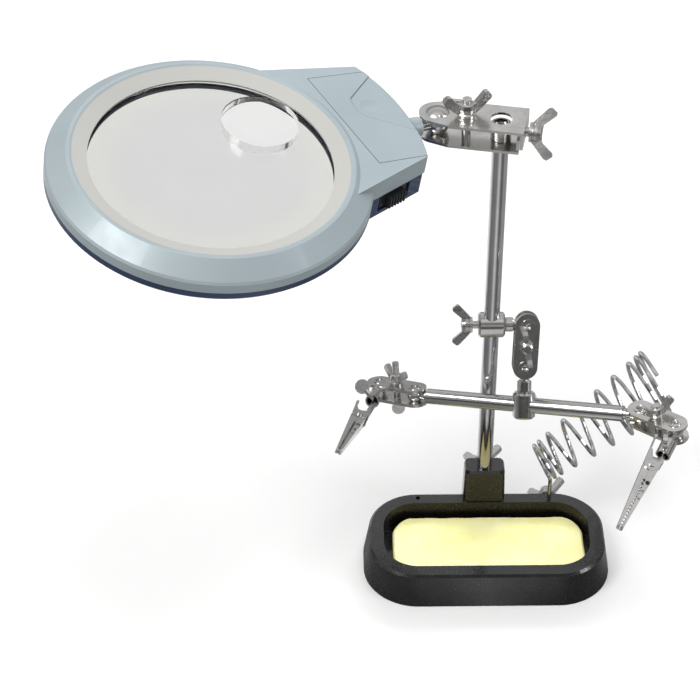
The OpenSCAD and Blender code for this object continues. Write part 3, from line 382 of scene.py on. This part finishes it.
def porous_pad(low, high, corner, columns, rows):
    """A worn sponge filling the box: pitted top, softened irregular sides, flat bottom."""
    mid = (low + high) / 2
    half_x, half_y = (high.x - low.x) / 2, (high.y - low.y) / 2

    def reach(y):
        over = max(0.0, abs(y) - (half_y - corner))
        return half_x - corner + math.sqrt(max(0.0, corner * corner - over * over))

    def pits(p):
        wide = 0.9 * MM * max(0.0, 0.34 - noise.voronoi(p * 260.0)[0][0])
        narrow = 0.7 * MM * max(0.0, 0.3 - noise.voronoi(p * 620.0 + Vector((5, 0, 0)))[0][0])
        swell = 0.25 * MM * noise.noise(p * 60.0)
        return wide + narrow - swell

    top, bottom = [], []
    for j in range(rows + 1):
        v = -1 + 2 * j / rows
        for i in range(columns + 1):
            u = -1 + 2 * i / columns
            y = v * half_y
            x = u * reach(y)
            edge = min(half_y - abs(y), reach(y) - abs(x))
            wave = EDGE_WAVE * noise.noise(Vector((x, y, 0.0)) * 130.0)
            shrink_x = 1 - (GAP_X + wave) / half_x
            shrink_y = 1 - (GAP_Y + wave) / half_y
            drop = EDGE_SOFTNESS * (1 - min(1.0, edge / EDGE_SOFTNESS)) ** 2
            p = Vector((mid.x + x * shrink_x, mid.y + y * shrink_y, 0.0))
            top.append((p.x, p.y, high.z - GAP_TOP - drop - pits(p)))
            bottom.append((p.x, p.y, low.z + GAP_UNDER))
    across = columns + 1
    count = len(top)
    faces = []
    for j in range(rows):
        for i in range(columns):
            a = j * across + i
            faces.append((a, a + 1, a + across + 1, a + across))
            faces.append((count + a, count + a + across, count + a + across + 1, count + a + 1))
    rim = list(range(across))
    rim += [j * across + columns for j in range(1, rows + 1)]
    rim += [rows * across + i for i in range(columns - 1, -1, -1)]
    rim += [j * across for j in range(rows - 1, 0, -1)]
    for a, b in zip(rim, rim[1:] + rim[:1]):
        faces.append((b, a, count + a, count + b))
    mesh = bpy.data.meshes.new("sponge_pad")
    mesh.from_pydata(top + bottom, [], faces)
    mesh.update()
    for polygon in mesh.polygons:
        polygon.use_smooth = True
    pad = bpy.data.objects.new("sponge_pad", mesh)
    bpy.context.scene.collection.objects.link(pad)
    mesh.materials.append(sponge_cell())
    return pad


pad = porous_pad(*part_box("sponge"), corner=15 * MM, columns=210, rows=92)
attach(pad, "base")
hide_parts("sponge")


# ---------- floor ----------
FLOOR_SIZE = 12
FLOOR_GAP = 0.2 * MM
POST_Y = 34 * MM
# Painted reflection, seen only in metal: direction round the post, from behind by the left, the
# front (0.5) and the right, and its grey
CARD_REFLECTIONS = (
    (0.0, 0.35), (0.12, 0.8), (0.2, 0.4), (0.27, 0.12), (0.42, 0.15), (0.46, 0.3), (0.5, 0.52),
    (0.54, 0.32), (0.59, 0.09), (0.65, 0.1), (0.7, 0.24), (0.8, 0.22), (1.0, 0.35),
)


def floor_paper():
    """White paper, which bright metal sees with painted reflections of grey and white card set
    around the post.
    """
    s = Shader("floor_paper")
    cloud = s.noise(3.0, 3.0, 0.5)
    tone = s.mix(s.span(cloud, 0.3, 0.7), (0.81, 0.81, 0.81), (0.83, 0.83, 0.83))
    rays = s.node("ShaderNodeLightPath")
    through = s.math("SUBTRACT", 1.0, rays.outputs["Is Transmission Ray"])
    seen_in_metal = s.math("MULTIPLY", rays.outputs["Is Glossy Ray"], through)
    place = s.node("ShaderNodeSeparateXYZ")
    s.link(s.coord, place.inputs["Vector"])
    behind = s.math("ADD", place.outputs["Y"], -POST_Y, clamp=False)
    ahead = s.math("MULTIPLY", behind, -1.0, clamp=False)
    turn = s.math("ARCTAN2", place.outputs["X"], ahead, clamp=False)
    # Painted reflection: grey and white card that only glossy rays see on the floor
    painted_reflections = s.levels(s.span(turn, -math.pi, math.pi), CARD_REFLECTIONS)
    tone = s.mix(seen_in_metal, tone, painted_reflections)
    fibre = s.bump(s.noise(900.0, 2.0, 0.5), 0.04, 0.1 * MM)
    return s.finish(Base_Color=tone, Roughness=0.9, Normal=fibre)


bpy.ops.mesh.primitive_plane_add(size=FLOOR_SIZE, location=(0, 0, -FLOOR_GAP))
floor = bpy.context.object
floor.name = "floor"
floor.data.materials.append(floor_paper())


# ---------- light ----------
def soft_light(name, location, target, power, width, height, color=(1, 1, 1), mirrored=True):
    """A rectangular lamp. One that isn't mirrored stays out of reflections and out of the lens."""
    data = bpy.data.lights.new(name, "AREA")
    data.shape = "RECTANGLE"
    data.size, data.size_y = width, height
    data.energy, data.color = power, color
    lamp = bpy.data.objects.new(name, data)
    lamp.location = location
    lamp.rotation_euler = (Vector(target) - Vector(location)).to_track_quat("-Z", "Y").to_euler()
    lamp.visible_glossy = mirrored
    lamp.visible_transmission = mirrored
    bpy.context.scene.collection.objects.link(lamp)


middle = (0, 0, 0.15)
soft_light("key", (-0.9, -0.5, 1.5), middle, 17, 0.7, 0.7, (1.0, 0.985, 0.96))
soft_light("fill", (1.3, -0.6, 0.9), middle, 5.5, 0.4, 0.9, (0.96, 0.98, 1.0))
soft_light("back", (0.2, 1.2, 1.1), middle, 12, 1.2, 0.4, mirrored=False)
soft_light("top", (0.1, -0.1, 1.6), middle, 7, 0.6, 0.6, mirrored=False)


# ---------- sky ----------
# Height above the horizon and its grey: a dim room in front, a white sweep behind
ROOM = (
    (0.0, 0.1), (0.12, 0.06), (0.3, 0.16), (0.42, 0.85),
    (0.55, 0.3), (0.75, 0.2), (0.88, 1.0), (1.0, 1.0),
)
SWEEP = (
    (0.0, 0.4), (0.1, 0.55), (0.3, 0.4), (0.42, 0.7), (0.5, 1.0),
    (0.6, 1.0), (0.7, 0.9), (0.85, 0.6), (1.0, 0.8),
)
SKY_POWER = 0.7


def studio_sky():
    """A world that turns from the room to the sweep along Y."""
    world = bpy.data.worlds.new("studio")
    world.use_nodes = True
    tree = world.node_tree
    tree.nodes.clear()
    new, link = tree.nodes.new, tree.links.new
    where = new("ShaderNodeTexCoord")
    part = new("ShaderNodeSeparateXYZ")
    link(where.outputs["Generated"], part.inputs["Vector"])
    side = new("ShaderNodeMapRange")
    side.inputs["From Min"].default_value = -0.1
    side.inputs["From Max"].default_value = 0.7
    link(part.outputs["Y"], side.inputs["Value"])
    blend = new("ShaderNodeMix")
    blend.data_type = "RGBA"
    link(side.outputs["Result"], blend.inputs["Factor"])
    for socket, stops in ((6, ROOM), (7, SWEEP)):
        ramp = new("ShaderNodeValToRGB")
        grey_stops(ramp.color_ramp.elements, stops)
        link(part.outputs["Z"], ramp.inputs["Fac"])
        link(ramp.outputs["Color"], blend.inputs[socket])
    glow = new("ShaderNodeBackground")
    glow.inputs["Strength"].default_value = SKY_POWER
    link(blend.outputs[2], glow.inputs["Color"])
    link(glow.outputs["Background"], new("ShaderNodeOutputWorld").inputs["Surface"])
    return world


bpy.context.scene.world = studio_sky()

# ---------- camera ----------
# A long lens from the front, looking 39 degrees down
CAMERA_AT = (-0.08546, -0.89462, 0.88615)
CAMERA_TURN = (51.0, 0.2065, -0.5046)
data = bpy.data.cameras.new("camera")
data.sensor_width = 36.0
data.lens = 107.81
camera = bpy.data.objects.new("camera", data)
camera.location = CAMERA_AT
camera.rotation_mode = "XYZ"
camera.rotation_euler = Euler([math.radians(angle) for angle in CAMERA_TURN])
bpy.context.scene.collection.objects.link(camera)
bpy.context.scene.camera = camera
bpy.context.scene.view_settings.view_transform = "Standard"
